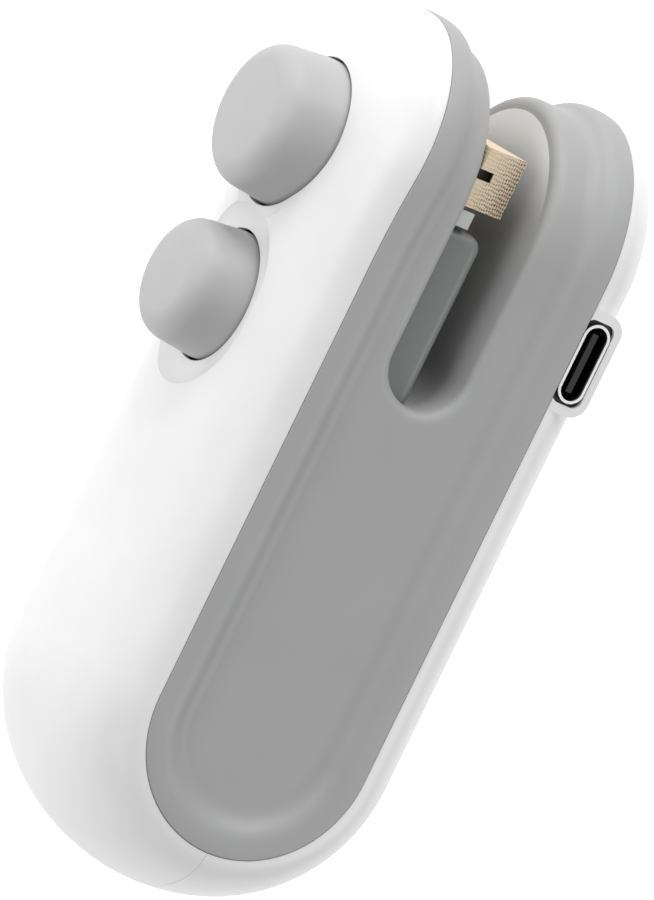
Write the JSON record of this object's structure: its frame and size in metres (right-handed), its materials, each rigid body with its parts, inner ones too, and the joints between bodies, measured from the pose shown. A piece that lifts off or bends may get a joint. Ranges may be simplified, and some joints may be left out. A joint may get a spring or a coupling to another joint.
{
  "type": "handheld bag heat sealer",
  "caption": "Handheld bag sealer with a slotted jaw, a taped heater bar, a guarded cutter, push buttons and a rechargeable handle.",
  "frame": {"origin": "under the middle of the whole body's box, on the surface that the far side cover's rim lies on", "axes": "+X along the body towards the round handle end, +Y from the press buttons to the charging port, +Z from the far side cover up to the near one"},
  "size_m": [0.0958, 0.0464, 0.0322],
  "materials": {
    "white_shell": "satin moulded ABS",
    "grey_cover": "fine matt moulded ABS",
    "grey_button": "fine matt moulded ABS",
    "silicone": "smooth silicone",
    "dark_plastic": "fine matt nylon",
    "light_plastic": "matt nylon",
    "inner_plastic": "as moulded",
    "black_plastic": "as moulded",
    "spring_steel": "drawn wire",
    "port_metal": "plated",
    "circuit_board": "solder mask over glass laminate",
    "ferrite": "matt ferrite",
    "led_lens": "clear lens",
    "cell_foil": "foil pouch",
    "lead_red": "wire insulation",
    "heater_lead": "glass sleeve over wire",
    "screw_steel": "zinc plated",
    "mica": "pressed mica sheet",
    "nichrome": "rolled strip",
    "glass_tape": "PTFE coated glass weave",
    "blade_steel": "ground edge"
  },
  "bodies": {
    "housing": {"front_shell": "white_shell", "back_shell": "white_shell", "near_side_cover": "grey_cover", "far_side_cover": "grey_cover", "anvil_pad": "silicone", "blade_guard": "dark_plastic", "tape_retainer": "light_plastic", "press_guide": "inner_plastic", "seal_springs": "spring_steel", "cutter_springs": "spring_steel", "seal_switch": "black_plastic", "lead_terminal": "black_plastic", "port_shell": "port_metal", "port_tongue": "black_plastic", "port_frame": "black_plastic", "main_board": "circuit_board", "charge_chip": "black_plastic", "power_transistor": "black_plastic", "boost_coil": "ferrite", "status_led": "led_lens", "battery_cell": "cell_foil", "battery_tray": "inner_plastic", "battery_leads": "lead_red", "switch_leads": "lead_red", "heater_leads": "heater_lead", "case_screws": "screw_steel"},
    "seal_press": {"seal_button": "grey_button", "seal_plunger": "inner_plastic", "heater_carriage": "inner_plastic", "heater_insulator": "mica", "heating_strip": "nichrome", "heater_tape": "glass_tape"},
    "cutter_press": {"cutter_button": "grey_button", "cutter_stem": "inner_plastic", "blade_holder": "inner_plastic", "cutter_blade": "blade_steel"},
    "switch_contact": {"switch_key": "light_plastic"}
  },
  "joints": [
    {"name": "seal_button_press", "type": "slide", "parent": "housing", "child": "seal_press", "axis": [0, 1, 0], "range_m": [0, 0.0026], "stiffness_N_per_m": 600, "springref_m": -0.002, "deforming": ["seal_springs"]},
    {"name": "cutter_button_press", "type": "slide", "parent": "housing", "child": "cutter_press", "axis": [0, 1, 0], "range_m": [0, 0.004], "stiffness_N_per_m": 400, "springref_m": -0.002, "deforming": ["cutter_springs"]},
    {"name": "switch_contact_travel", "type": "slide", "parent": "housing", "child": "switch_contact", "axis": [1, 0, 0], "range_m": [0, 0.00078]}
  ],
  "couplings": [
    {"joint": "switch_contact_travel", "follows": "seal_button_press", "ratio": 0.3}
  ]
}
